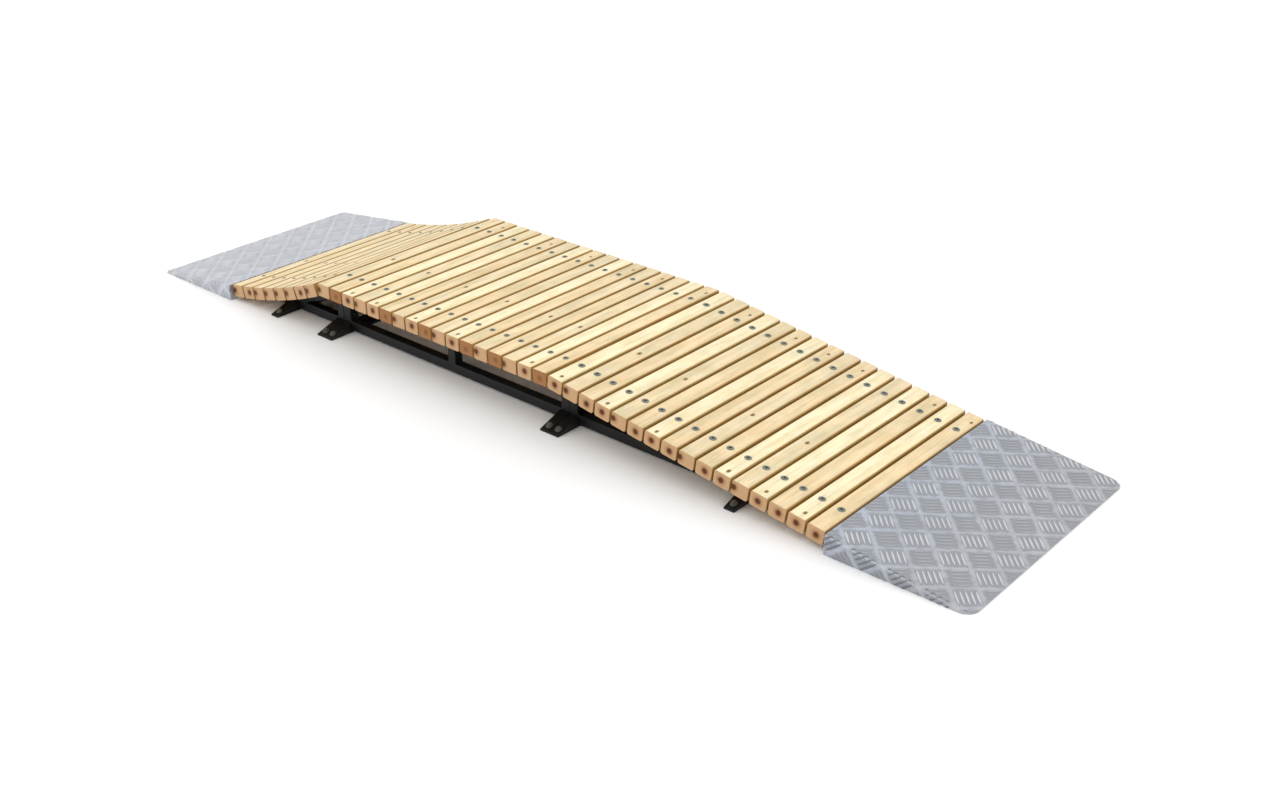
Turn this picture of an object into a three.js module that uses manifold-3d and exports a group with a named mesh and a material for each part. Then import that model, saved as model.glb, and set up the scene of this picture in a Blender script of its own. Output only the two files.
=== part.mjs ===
// Table jump for bikes: tread-plate run-up, curved take-off, flat table, straight landing slope
// and tread-plate run-out, decked with timber battens on three bolted steel modules.
// Units are millimetres. X runs from the run-up tip to the run-out tip, Z is up.
import * as THREE from 'three';
import Module from 'manifold-3d';

// ---- driving dimensions ----
const BATTEN_LENGTH = 1000;      // across the deck, along Y
const BATTEN_WIDTH = 70;
const BATTEN_THICKNESS = 55;
const BATTEN_CHAMFER = 3;
const TAKEOFF_BATTENS = 8;
const TABLE_BATTENS = 17;
const LANDING_BATTENS = 16;
const PITCH = 76;                // batten plus gap on the take-off and the table
const TAKEOFF_START = 14;        // arc length from the plate edge to the first batten's cell
const LANDING_START = 3;         // extra room below the crest for the tilted first batten

const X_IN_TIP = -2070;          // run-up plate tip
const X_IN_JOINT = -1576;        // run-up plate meets the battens
const X_ARC = -1589;             // start of the take-off curve
const X_LIP = -967;              // take-off meets the table
const X_CREST = X_LIP + TABLE_BATTENS * PITCH;   // table meets the landing
const X_OUT_JOINT = 1537;        // landing meets the run-out plate
const X_OUT_TIP = 2070;

const Z_IN = 68;                 // deck heights at the arc's start, on the table and at the run-out
const Z_TABLE = 242;
const Z_OUT = 72;
const Z_IN_PLATE = 69.5;         // upper edge of the run-up plate
const ARC_ENTRY_ANGLE = THREE.MathUtils.degToRad(8.4);

const PLATE_WIDTH = 1030;        // wraps outside the batten ends
const SHEET = 4;
const RUNUP_CORNER = 18;         // plan radius at the tip corners
const RUNOUT_CORNER = 45;
const TIP_SOLID = 30;            // length of the folded-back solid tip
const PLATE_GAP = 3;

const BAR = 40;                  // box section of rails and posts
const RAIL_OUTER_Y = 388;        // outer face of each side frame
const FOOT_WIDTH = 44;
const FOOT_THICKNESS = 8;
const FOOT_TIP = 6;              // height of a foot's outer end
const FOOT_RISE = 44;            // height of its wedge beside the rail
const CLEAR = 0.3;               // gap left between touching pieces
const MODULE_GAP = 1;            // half of the gap between bolted modules
const X_MODULE_1 = -955.5;       // take-off / table joint
const X_MODULE_2 = 326;          // table / landing joint
const X_MIDDLE_POST = -304;
const X_TAKEOFF_FOOT = -1289;
const X_LANDING_FOOT = 1151;
const X_TOE_IN = -1553;
const X_TOE_OUT = 1507;

// ---- materials ----
const pine = new THREE.MeshStandardMaterial({ color: 0xe3c995, roughness: 0.7, metalness: 0 });
const tread = new THREE.MeshStandardMaterial({ color: 0xb4bac4, roughness: 0.4, metalness: 0.9 });
const steel = new THREE.MeshStandardMaterial({ color: 0x1d1e20, roughness: 0.5, metalness: 0.2 });

const group = new THREE.Group();
group.name = 'table_jump';

function add(name, geometry, material) {
  const mesh = new THREE.Mesh(geometry, material);
  mesh.name = name;
  group.add(mesh);
}

// ---- deck line ----
// Take-off arc: starts at X_ARC with the entry angle and ends exactly at the lip.
const chordAngle = Math.atan2(Z_TABLE - Z_IN, X_LIP - X_ARC);
const exitAngle = 2 * chordAngle - ARC_ENTRY_ANGLE;
const arcRadius = (X_LIP - X_ARC) / (Math.sin(exitAngle) - Math.sin(ARC_ENTRY_ANGLE));
const landingAngle = Math.atan2(Z_TABLE - Z_OUT, X_OUT_JOINT - X_CREST);
const landingLength = Math.hypot(X_OUT_JOINT - X_CREST, Z_TABLE - Z_OUT);
const landingPitch = (landingLength - LANDING_START) / LANDING_BATTENS;

// Point below the take-off surface at tangent angle t, offset down the normal by drop.
function arcPoint(t, drop) {
  const x = X_ARC + arcRadius * (Math.sin(t) - Math.sin(ARC_ENTRY_ANGLE));
  const z = Z_IN - arcRadius * (Math.cos(t) - Math.cos(ARC_ENTRY_ANGLE));
  return [x + drop * Math.sin(t), z - drop * Math.cos(t)];
}

// Height of the landing surface at x, offset down its normal by drop.
function landingHeight(x, drop) {
  return Z_TABLE - (x - X_CREST) * Math.tan(landingAngle) - drop / Math.cos(landingAngle);
}

// ---- solids ----
// Extrude an XZ outline along Y, centred on y.
function extrudeXZ(points, depth, y) {
  const shape = new THREE.Shape(points.map(([x, z]) => new THREE.Vector2(x, z)));
  const geometry = new THREE.ExtrudeGeometry(shape, { depth, bevelEnabled: false, steps: 1 });
  geometry.rotateX(Math.PI / 2);
  geometry.translate(0, y + depth / 2, 0);
  return geometry;
}

function box(x0, x1, y0, y1, z0, z1) {
  const geometry = new THREE.BoxGeometry(x1 - x0, y1 - y0, z1 - z0);
  geometry.translate((x0 + x1) / 2, (y0 + y1) / 2, (z0 + z1) / 2);
  return geometry;
}

// Batten with its top centre at (x, z), turned by angle about Y (positive climbs towards +X).
function batten(x, z, angle) {
  const w = BATTEN_WIDTH / 2;
  const t = BATTEN_THICKNESS;
  const c = BATTEN_CHAMFER;
  const outline = [
    [-w + c, -t], [w - c, -t], [w, -t + c], [w, -c],
    [w - c, 0], [-w + c, 0], [-w, -c], [-w, -t + c],
  ];
  const geometry = extrudeXZ(outline, BATTEN_LENGTH, 0);
  geometry.rotateY(-angle);
  geometry.translate(x, 0, z);
  return geometry;
}

const label = (i) => String(i + 1).padStart(2, '0');

for (let i = 0; i < TAKEOFF_BATTENS; i++) {
  const t = ARC_ENTRY_ANGLE + (TAKEOFF_START + (i + 0.5) * PITCH) / arcRadius;
  const [x, z] = arcPoint(t, 0);
  add(`takeoff_batten_${label(i)}`, batten(x, z, t), pine);
}
for (let i = 0; i < TABLE_BATTENS; i++) {
  add(`table_batten_${label(i)}`, batten(X_LIP + (i + 0.5) * PITCH, Z_TABLE, 0), pine);
}
for (let i = 0; i < LANDING_BATTENS; i++) {
  const s = LANDING_START + (i + 0.5) * landingPitch;
  const x = X_CREST + s * Math.cos(landingAngle);
  const z = Z_TABLE - s * Math.sin(landingAngle);
  add(`landing_batten_${label(i)}`, batten(x, z, -landingAngle), pine);
}

// ---- folded tread plates ----
const wasm = await Module();
wasm.setup();

function toSolid(geometry) {
  const position = (geometry.index ? geometry.toNonIndexed() : geometry).getAttribute('position');
  const index = new Map();
  const verts = [];
  const tris = [];
  for (let i = 0; i < position.count; i++) {
    const p = [position.getX(i), position.getY(i), position.getZ(i)];
    const key = p.map((v) => v.toFixed(4)).join(',');
    if (!index.has(key)) {
      index.set(key, verts.length / 3);
      verts.push(...p);
    }
    tris.push(index.get(key));
  }
  return new wasm.Manifold(new wasm.Mesh({
    numProp: 3, vertProperties: new Float32Array(verts), triVerts: new Uint32Array(tris),
  }));
}

function toGeometry(solid) {
  const mesh = solid.getMesh();
  const geometry = new THREE.BufferGeometry();
  const points = [];
  for (const v of mesh.triVerts) {
    for (let k = 0; k < 3; k++) points.push(mesh.vertProperties[v * mesh.numProp + k]);
  }
  geometry.setAttribute('position', new THREE.Float32BufferAttribute(points, 3));
  geometry.computeVertexNormals();
  return geometry;
}

// Plan outline of a plate, tip end rounded. side is -1 for the run-up and +1 for the run-out.
function planPrism(tip, joint, halfWidth, radius, z0, z1) {
  const side = Math.sign(tip - joint);
  const shape = new THREE.Shape();
  shape.moveTo(joint, -halfWidth);
  shape.lineTo(tip - side * radius, -halfWidth);
  const steps = 8;
  for (const [cy, from] of [[-1, 0], [1, 1]]) {
    for (let k = 0; k <= steps; k++) {
      const a = (from + (k / steps)) * Math.PI / 2 - Math.PI / 2;
      shape.lineTo(tip - side * radius + side * radius * Math.cos(a),
        cy * (halfWidth - radius) + radius * Math.sin(a));
    }
  }
  shape.lineTo(joint, halfWidth);
  const geometry = new THREE.ExtrudeGeometry(shape, { depth: z1 - z0, bevelEnabled: false });
  geometry.translate(0, 0, z0);
  return geometry;
}

// Folded sheet: sloped top, two skirts and an end flange, open underneath.
function plate(tip, joint, height, corner) {
  const side = Math.sign(tip - joint);
  const outer = extrudeXZ([[tip, 0], [tip, SHEET], [joint, height], [joint, 0]], PLATE_WIDTH, 0);
  const slope = (height - SHEET) / Math.abs(tip - joint);
  const inEnd = joint + side * SHEET;
  const tipEnd = tip - side * TIP_SOLID;
  const roof = (x) => SHEET + slope * Math.abs(tip - x) - SHEET * Math.hypot(1, slope);
  const hollow = extrudeXZ(
    [[tipEnd, -10], [tipEnd, roof(tipEnd)], [inEnd, roof(inEnd)], [inEnd, -10]],
    PLATE_WIDTH - 2 * SHEET, 0);
  const half = PLATE_WIDTH / 2;
  const shell = toSolid(planPrism(tip, joint, half, corner, -20, 120));
  const core = toSolid(planPrism(tip - side * SHEET, joint, half - SHEET, corner - SHEET,
    -20, 120));
  return toGeometry(toSolid(outer).intersect(shell).subtract(toSolid(hollow).intersect(core)));
}

add('runup_plate', plate(X_IN_TIP, X_IN_JOINT, Z_IN_PLATE, RUNUP_CORNER), tread);
add('runout_plate', plate(X_OUT_TIP, X_OUT_JOINT + PLATE_GAP, Z_OUT, RUNOUT_CORNER), tread);

// ---- steel feet ----
// A strap under both frames, with a wedge outside each that stands against its rail.
function foot(name, x) {
  const end = BATTEN_LENGTH / 2;
  const inner = RAIL_OUTER_Y + CLEAR;
  const outline = [[-end, 0], [end, 0], [end, FOOT_TIP], [inner, FOOT_RISE],
    [inner, FOOT_THICKNESS], [-inner, FOOT_THICKNESS], [-inner, FOOT_RISE], [-end, FOOT_TIP]];
  const shape = new THREE.Shape(outline.map(([y, z]) => new THREE.Vector2(y, z)));
  const geometry = new THREE.ExtrudeGeometry(shape, { depth: FOOT_WIDTH, bevelEnabled: false });
  geometry.applyMatrix4(new THREE.Matrix4().makeBasis(
    new THREE.Vector3(0, 1, 0), new THREE.Vector3(0, 0, 1), new THREE.Vector3(1, 0, 0)));
  geometry.translate(x - FOOT_WIDTH / 2, 0, 0);
  add(name, geometry, steel);
}

// A plain strap, for the toes where the deck is too low for a wedge.
function strap(name, x) {
  add(name, box(x - FOOT_WIDTH / 2, x + FOOT_WIDTH / 2, -RAIL_OUTER_Y, RAIL_OUTER_Y,
    0, FOOT_THICKNESS), steel);
}
const halfFoot = FOOT_WIDTH / 2 + MODULE_GAP;
strap('foot_takeoff_toe', X_TOE_IN);
foot('foot_takeoff_middle', X_TAKEOFF_FOOT);
foot('foot_takeoff_joint', X_MODULE_1 - halfFoot);
foot('foot_table_start', X_MODULE_1 + halfFoot);
foot('foot_table_end', X_MODULE_2 - halfFoot);
foot('foot_landing_joint', X_MODULE_2 + halfFoot);
foot('foot_landing_middle', X_LANDING_FOOT);
strap('foot_landing_toe', X_TOE_OUT);

// ---- side frames ----
const base = FOOT_THICKNESS + CLEAR;          // underside of every frame
const railTop = base + BAR;                   // top of the lower rail
const deckDrop = BATTEN_THICKNESS + CLEAR;    // deck surface to frame top
const tableTop = Z_TABLE - deckDrop;

function addFrames(name, outline, holes) {
  for (const [tag, side] of [['right', -1], ['left', 1]]) {
    const y = side * (RAIL_OUTER_Y - BAR / 2);
    let solid = toSolid(extrudeXZ(outline, BAR, y));
    for (const hole of holes) solid = solid.subtract(toSolid(extrudeXZ(hole, 2 * BAR, y)));
    add(`${name}_frame_${tag}`, toGeometry(solid), steel);
  }
}

// Points along the take-off curve between two x stations at a given drop.
function arcRun(x0, x1, drop, count) {
  const points = [];
  const angleAt = (x) => {
    let t = chordAngle;
    for (let k = 0; k < 30; k++) {
      t += (x - arcPoint(t, drop)[0]) / ((arcRadius + drop) * Math.cos(t));
    }
    return t;
  };
  const t0 = angleAt(x0);
  const t1 = angleAt(x1);
  for (let k = 0; k <= count; k++) points.push(arcPoint(t0 + (t1 - t0) * k / count, drop));
  return points;
}

// Take-off: curved top rail, low rail and an end post.
{
  const start = X_TOE_IN - FOOT_WIDTH / 2;
  const end = X_MODULE_1 - MODULE_GAP;
  const post = end - BAR;
  const railDrop = deckDrop + BAR;
  const crown = X_LIP - 10;
  const outline = [[start, base], [end, base], [end, arcRun(crown, crown, deckDrop, 1)[0][1]],
    ...arcRun(start, crown, deckDrop, 14).reverse()];
  const under = arcRun(-1205, post, railDrop, 8);
  const hole = [[post, railTop], [under[0][0], railTop], ...under];
  addFrames('takeoff', outline, [hole]);
}

// Table: ladder with two bays.
{
  const start = X_MODULE_1 + MODULE_GAP;
  const end = X_MODULE_2 - MODULE_GAP;
  const bay = (x0, x1) => [[x0, railTop], [x0, tableTop - BAR], [x1, tableTop - BAR],
    [x1, railTop]];
  addFrames('table', [[start, base], [end, base], [end, tableTop], [start, tableTop]], [
    bay(start + BAR, X_MIDDLE_POST - BAR / 2),
    bay(X_MIDDLE_POST + BAR / 2, end - BAR),
  ]);
}

// Landing: sloped top rail that runs into the low rail and tapers to the toe.
{
  const start = X_MODULE_2 + MODULE_GAP;
  const end = X_TOE_OUT + FOOT_WIDTH / 2;
  const post = start + BAR;
  const under = (x) => landingHeight(x, deckDrop + BAR);
  const merge = X_CREST + (under(X_CREST) - railTop - 2) / Math.tan(landingAngle);
  const outline = [[start, base], [end, base], [end, landingHeight(end, deckDrop)],
    [start, landingHeight(start, deckDrop)]];
  const hole = [[post, railTop], [post, under(post)], [merge, under(merge)], [merge, railTop]];
  addFrames('landing', outline, [hole]);
}

// Cross tube between the table frames at the middle posts.
{
  const y = RAIL_OUTER_Y - BAR - CLEAR;
  const top = tableTop - BAR;
  add('table_cross_tube',
    box(X_MIDDLE_POST - BAR / 2, X_MIDDLE_POST + BAR / 2, -y, y, top - BAR, top), steel);
}

export default group;
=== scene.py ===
import math

import bmesh
import bpy
from mathutils import Euler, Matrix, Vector


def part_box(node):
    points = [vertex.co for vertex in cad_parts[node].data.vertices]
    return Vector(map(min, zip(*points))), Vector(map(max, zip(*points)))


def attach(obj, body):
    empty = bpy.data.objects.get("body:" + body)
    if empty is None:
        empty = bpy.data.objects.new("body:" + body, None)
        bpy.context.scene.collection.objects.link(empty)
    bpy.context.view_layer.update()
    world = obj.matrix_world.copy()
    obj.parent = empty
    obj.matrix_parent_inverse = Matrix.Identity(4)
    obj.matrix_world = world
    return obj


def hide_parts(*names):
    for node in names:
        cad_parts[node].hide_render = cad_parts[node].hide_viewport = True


bl_info = {
    "name": "Table Jump Ramp",
    "version": (1, 0, 0),
    "blender": (4, 5, 0),
    "location": "View3D > Sidebar > Ramp",
    "description": "Timber table jump with tread-plate ends on a bolted steel frame",
    "category": "Object",
}

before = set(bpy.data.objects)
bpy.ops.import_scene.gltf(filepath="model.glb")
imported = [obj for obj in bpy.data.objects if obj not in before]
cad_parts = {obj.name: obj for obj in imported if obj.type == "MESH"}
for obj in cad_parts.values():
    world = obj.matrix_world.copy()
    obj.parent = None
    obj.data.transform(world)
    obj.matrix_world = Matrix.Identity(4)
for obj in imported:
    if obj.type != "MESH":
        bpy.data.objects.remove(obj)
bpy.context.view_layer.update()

# Rough order of the three kinds of batten along each run, from the run-up to the run-out.
# P is pale, G is greyish, T is tan.
TAKEOFF_ORDER = "GTGGGGTG"
TABLE_ORDER = "GTPGPTGPTGPTGTGPT"
LANDING_ORDER = "PGTPGTPTGTPGPTPT"

# The deck line, in metres: where each run starts, and how it climbs and bends.
ARC_START = (-1.589, 0.068)
LIP_X, CREST_X, OUT_JOINT = -0.967, 0.325, (1.537, 0.072)
DECK_Z = 0.242
ARC_ENTRY = math.radians(8.4)
PITCH = 0.076
TAKEOFF_OFFSET, LANDING_OFFSET = 0.014, 0.003


def srgb(red, green, blue):
    """A colour given as 0 to 255 screen values, as the linear RGBA that a shader takes."""
    def linear(v):
        v /= 255
        return v / 12.92 if v <= 0.04045 else ((v + 0.055) / 1.055) ** 2.4
    return (linear(red), linear(green), linear(blue), 1.0)


def length_prop(name, description, default):
    return bpy.props.FloatProperty(
        name=name, description=description, default=default, min=0.0, unit="LENGTH", precision=4)


def colour_prop(name, description, default):
    return bpy.props.FloatVectorProperty(
        name=name, description=description, default=default, size=4, min=0.0, max=1.0,
        subtype="COLOR")


class RampSizes(bpy.types.PropertyGroup):
    """Sizes of the visual details."""
    batten_length: length_prop("Batten length", "Across the deck", 1.0)
    batten_width: length_prop("Batten width", "Along the ride", 0.068)
    batten_thickness: length_prop("Batten thickness", "Depth of a batten", 0.055)
    batten_edge: length_prop("Batten edge", "Radius of a batten's long edges", 0.008)
    end_bevel: length_prop("End bevel", "Bevel round a batten's sawn ends", 0.0015)
    screw_row: length_prop("Screw row", "Distance of each row of screws from the middle", 0.360)
    screw_radius: length_prop("Screw radius", "Radius of a deck screw's head", 0.0135)
    screw_height: length_prop("Screw height", "How far a deck screw's head stands up", 0.0022)
    plate_half: length_prop("Plate half width", "Middle of the deck to a skirt's face", 0.515)
    sheet: length_prop("Sheet", "Thickness of the tread plate", 0.004)
    fold_radius: length_prop("Fold radius", "Outer radius of the fold along a skirt", 0.012)
    runup_corner: length_prop("Run-up corner", "Plan radius of the run-up's tip corners", 0.018)
    runout_corner: length_prop("Run-out corner", "Plan radius of the run-out's corners", 0.045)
    tread_cell: length_prop("Tread cell", "Repeat of the tread pattern", 0.133)
    bar_length: length_prop("Bar length", "Length of a tread bar", 0.075)
    bar_width: length_prop("Bar width", "Width of a tread bar", 0.0090)
    bar_height: length_prop("Bar height", "Height of a tread bar", 0.0023)
    bar_spacing: length_prop("Bar spacing", "Distance between bars of one group", 0.0172)
    tube_edge: length_prop("Tube edge", "Outer radius of a box section's corners", 0.003)
    bolt_head: length_prop("Bolt head", "Radius of a hexagon bolt head over its corners", 0.0095)


class RampColours(bpy.types.PropertyGroup):
    """Colours of the finishes."""
    pale_pine: colour_prop("Pale pine", "Lightest battens", srgb(246, 229, 188))
    grey_pine: colour_prop("Grey pine", "Greyer battens", srgb(231, 211, 170))
    tan_pine: colour_prop("Tan pine", "Tan battens", srgb(231, 207, 163))
    # The sawn-end colours are partly their own and partly painted shade for the upright end faces.
    end_grain_and_shade: colour_prop("End grain", "Sawn ends of the battens", srgb(194, 156, 116))
    heart: colour_prop("Heart", "Heart of a batten at its sawn end", srgb(84, 39, 9))
    red_end_and_shade: colour_prop("Red end", "Reddish sawn ends", srgb(156, 107, 62))
    # Painted shade for the batten sides down in the gaps.
    painted_gap_shade: colour_prop("Painted gap shade", "Tint of the battens' sides", srgb(182, 157, 106))
    knot: colour_prop("Knot", "Small knots", srgb(112, 84, 46))
    tread_metal: colour_prop("Tread metal", "Tread plate", srgb(180, 182, 186))
    tread_blue: colour_prop("Tread blue", "Tread plate beside the deck", srgb(179, 185, 196))
    tread_grime: colour_prop("Tread grime", "Duller metal round the bars", srgb(150, 153, 159))
    # Painted shade at the foot and a painted highlight on the crown of each tread bar.
    bar_foot_shade: colour_prop("Bar foot", "Dirt along the foot of a tread bar", srgb(120, 122, 126))
    bar_crown_highlight: colour_prop("Bar crown", "Worn crown of a tread bar", srgb(202, 204, 208))
    # Painted sheen: the run-up plate, seen at a grazing angle, is lightened towards this colour.
    fresh_tread: colour_prop("Fresh tread", "Tint of the less worn run-up plate",
                             srgb(224, 226, 232))
    frame_paint: colour_prop("Frame paint", "Steel frame", srgb(14, 15, 17))
    zinc: colour_prop("Zinc", "Screws and bolts", srgb(126, 132, 124))
    floor: colour_prop("Floor", "Studio floor", (0.96, 0.96, 0.96, 1.0))


class Graph:
    """Adds nodes to a node tree. An input's value is either linked or set."""

    def __init__(self, tree):
        self.tree = tree

    def add(self, kind, inputs=(), out=0, **settings):
        node = self.tree.nodes.new(kind)
        for key, value in settings.items():
            setattr(node, key, value)
        pairs = inputs.items() if isinstance(inputs, dict) else enumerate(inputs)
        for key, value in pairs:
            if isinstance(value, bpy.types.NodeSocket):
                self.tree.links.new(value, node.inputs[key])
            elif value is not None:
                node.inputs[key].default_value = value
        return node.outputs[out]

    def math(self, operation, *values):
        return self.add("ShaderNodeMath", values, operation=operation)

    def length(self, x, y):
        """Distance of (x, y) from the origin."""
        squares = self.math("ADD", self.math("MULTIPLY", x, x), self.math("MULTIPLY", y, y))
        return self.math("SQRT", squares)

    def attribute(self, name, out):
        """A mesh attribute: out is 0 for a colour, 1 for a vector and 2 for a number."""
        return self.add("ShaderNodeAttribute", attribute_name=name, out=out)

    def combine(self, x=0.0, y=0.0, z=0.0):
        return self.add("ShaderNodeCombineXYZ", (x, y, z))

    def split(self, vector):
        node = self.add("ShaderNodeSeparateXYZ", (vector,)).node
        return node.outputs[0], node.outputs[1], node.outputs[2]

    def mix(self, factor, first, second, blend="MIX"):
        return self.add("ShaderNodeMix", {0: factor, 6: first, 7: second}, out=2,
                        data_type="RGBA", blend_type=blend, clamp_factor=True)

    def ramp(self, value, low, high, to_low=0.0, to_high=1.0):
        """value from low..high mapped smoothly to to_low..to_high."""
        return self.add("ShaderNodeMapRange", {0: value, 1: low, 2: high, 3: to_low, 4: to_high},
                        interpolation_type="SMOOTHSTEP")

    def noise(self, vector, scale, detail=2.0, roughness=0.5):
        return self.add("ShaderNodeTexNoise", {
            "Vector": vector, "Scale": scale, "Detail": detail, "Roughness": roughness})


class Recipe(Graph):
    """A Geometry Nodes tree with named inputs, run once and turned into a plain mesh."""

    def __init__(self, name):
        super().__init__(bpy.data.node_groups.new(name, "GeometryNodeTree"))
        self.tree.interface.new_socket(
            "Geometry", in_out="INPUT", socket_type="NodeSocketGeometry")
        self.tree.interface.new_socket(
            "Geometry", in_out="OUTPUT", socket_type="NodeSocketGeometry")
        self.values = {}
        self.entry = self.tree.nodes.new("NodeGroupInput")
        self.exit = self.tree.nodes.new("NodeGroupOutput")

    def input(self, name, value):
        """A named input of the tree, set to value on the modifier."""
        kind = {int: "Int", float: "Float"}.get(type(value), "Vector")
        item = self.tree.interface.new_socket(
            name, in_out="INPUT", socket_type="NodeSocket" + kind)
        self.values[item.identifier] = value
        return self.entry.outputs[name]

    def finish(self, geometry, material):
        """Ends the tree in plain geometry that carries its material."""
        self.material = material
        real = self.add("GeometryNodeRealizeInstances", (geometry,))
        dressed = self.add("GeometryNodeSetMaterial", {"Geometry": real, "Material": material})
        self.tree.links.new(dressed, self.exit.inputs[0])

    def bake(self, name, mesh=None):
        """Runs the tree on mesh and returns the result as a new mesh that carries the material."""
        carrier = bpy.data.objects.new(name + "_points", mesh or bpy.data.meshes.new("points"))
        bpy.context.scene.collection.objects.link(carrier)
        modifier = carrier.modifiers.new("recipe", "NODES")
        modifier.node_group = self.tree
        for identifier, value in self.values.items():
            modifier[identifier] = value
        graph = bpy.context.evaluated_depsgraph_get()
        result = bpy.data.meshes.new_from_object(
            carrier.evaluated_get(graph), preserve_all_data_layers=True, depsgraph=graph)
        bpy.data.objects.remove(carrier)
        if not result.polygons:
            raise RuntimeError(f"{name}: its tree made no faces")
        return dress(result, self.material)


def dress(mesh, material):
    """Gives the whole mesh that one material."""
    mesh.materials.clear()
    mesh.materials.append(material)
    mesh.polygons.foreach_set("material_index", [0] * len(mesh.polygons))
    return mesh


def turned_out(mesh):
    """Makes every closed shell's faces point outwards."""
    bm = bmesh.new()
    bm.from_mesh(mesh)
    bmesh.ops.recalc_face_normals(bm, faces=bm.faces)
    bm.to_mesh(mesh)
    bm.free()
    return mesh


def smooth(mesh, angle):
    """Smooth shading with edges sharper than angle, in degrees, left crisp."""
    mesh.polygons.foreach_set("use_smooth", [True] * len(mesh.polygons))
    mesh.set_sharp_from_angle(angle=math.radians(angle))
    return mesh


def piece(name, mesh, nodes=(), body="root"):
    """Adds mesh as a finished piece that rides on body and stands for CAD nodes."""
    mesh.name = name
    thing = bpy.data.objects.new(name, mesh)
    bpy.context.scene.collection.objects.link(thing)
    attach(thing, body)
    if nodes:
        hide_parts(*nodes)
    return thing


def principled(name, roughness, metallic=0.0, **sockets):
    """A material with one Principled shader, its graph and the shader node."""
    material = bpy.data.materials.new(name)
    material.use_nodes = True
    shader = material.node_tree.nodes["Principled BSDF"]
    shader.inputs["Roughness"].default_value = roughness
    shader.inputs["Metallic"].default_value = metallic
    for key, value in sockets.items():
        shader.inputs[key.replace("_", " ")].default_value = value
    return material, Graph(material.node_tree), shader


def bump(graph, shader, height, strength, distance):
    normal = graph.add("ShaderNodeBump", {
        "Strength": strength, "Distance": distance, "Height": height})
    graph.tree.links.new(normal, shader.inputs["Normal"])


# ---- finishes ----
RING_SPACING = 0.0052            # between growth rings
HEART_DRIFT = 0.028              # how far a heart line wanders sideways
END_DEPTH = 0.0017               # how far in from its tips a batten shows end grain
TOP_DEPTH = -0.004               # a knot marks the wood above this


def grain(g, timber, seed, fineness, stretch, detail, roughness=0.5, layer=None):
    """Noise drawn out along a batten. With a layer given, it's the same at every depth."""
    across, along, depth = timber
    level = g.math("MULTIPLY", depth, fineness) if layer is None else layer
    place = g.combine(g.math("MULTIPLY", across, fineness),
                      g.math("ADD", g.math("MULTIPLY", along, stretch), seed), level)
    return g.noise(place, 1.0, detail, roughness)


def heart_distance(g, timber, heart):
    """Distance from the heart line, which wanders a little along the batten."""
    across, along, depth = timber
    heart_x, heart_z, seed = heart
    drift = g.noise(g.combine(g.math("MULTIPLY", along, 1.6), seed, 0.0), 1.0, 1.0)
    drift = g.math("MULTIPLY", g.math("SUBTRACT", drift, 0.5), HEART_DRIFT)
    dx = g.math("ADD", g.math("SUBTRACT", across, heart_x), drift)
    dz = g.math("ADD", g.math("SUBTRACT", depth, heart_z), g.math("MULTIPLY", drift, 0.6))
    return g.length(dx, dz)


def planed_face(g, timber, seed, fibre, rings, tone):
    """Colour of a planed face: fibres, rings and blotches over the batten's own tone."""
    streak = grain(g, timber, seed, 48.0, 2.2, 2.0)
    shade = g.math("ADD", g.ramp(fibre, 0.3, 0.7, -0.5, 0.5), g.ramp(streak, 0.3, 0.7, -1.2, 1.2))
    shade = g.math("SUBTRACT", shade, g.math("MULTIPLY", rings, 0.9))
    shade = g.math("MULTIPLY_ADD", shade, 0.062, 1.055)
    # Broad blotches, longer along the grain, that lean to tan or to a greenish grey.
    darkness, hue = (grain(g, timber, seed, 22.0, 7.0, 3.0, 0.65, layer)
                     for layer in (0.0, 40.0))
    shade = g.math("ADD", shade, g.ramp(darkness, 0.3, 0.7, -0.125, 0.055))
    lean = g.ramp(hue, 0.3, 0.7, -0.05, 0.03)
    blue = g.math("SUBTRACT", g.math("POWER", shade, 1.35), lean)
    return g.mix(1.0, tone, g.combine(g.math("ADD", shade, lean), shade, blue), "MULTIPLY")


def with_knot(g, face, timber, spot, fibre, colour):
    """The face with one small knot on top, longer along the grain."""
    across, along, depth = timber
    knot_x, knot_y, size = spot
    kx = g.math("DIVIDE", g.math("SUBTRACT", across, knot_x), size)
    ky = g.math("DIVIDE", g.math("SUBTRACT", along, knot_y), g.math("MULTIPLY", size, 1.5))
    reach = g.math("ADD", g.length(kx, ky), g.ramp(fibre, 0.2, 0.8, -0.25, 0.25))
    on_top = g.math("GREATER_THAN", depth, TOP_DEPTH)
    knot = g.math("MULTIPLY", g.ramp(reach, 0.4, 1.2, 0.95, 0.0), on_top)
    return g.mix(knot, face, colour)


def sawn_end(g, radius, rings, fibre, redness, colours):
    """Colour of a sawn end: duller, the heart a dark spot, and painted shade over it all."""
    red_end_and_shade = tuple(colours.red_end_and_shade)
    ends = g.mix(redness, tuple(colours.end_grain_and_shade), red_end_and_shade)
    mottled = g.math("MULTIPLY_ADD", g.math("ADD", rings, fibre), -0.22, 1.18)
    ends = g.mix(1.0, ends, g.combine(mottled, mottled, g.math("POWER", mottled, 1.3)), "MULTIPLY")
    spread = g.math("ADD", radius, g.ramp(fibre, 0.2, 0.8, -0.003, 0.003))
    ends = g.mix(g.ramp(spread, 0.012, 0.027, 0.55, 0.0), ends, red_end_and_shade)
    core = g.math("MULTIPLY", g.ramp(spread, 0.007, 0.0155, 0.97, 0.0),
                  g.math("MULTIPLY_ADD", redness, -0.55, 1.0))
    return g.mix(core, ends, tuple(colours.heart))


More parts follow.
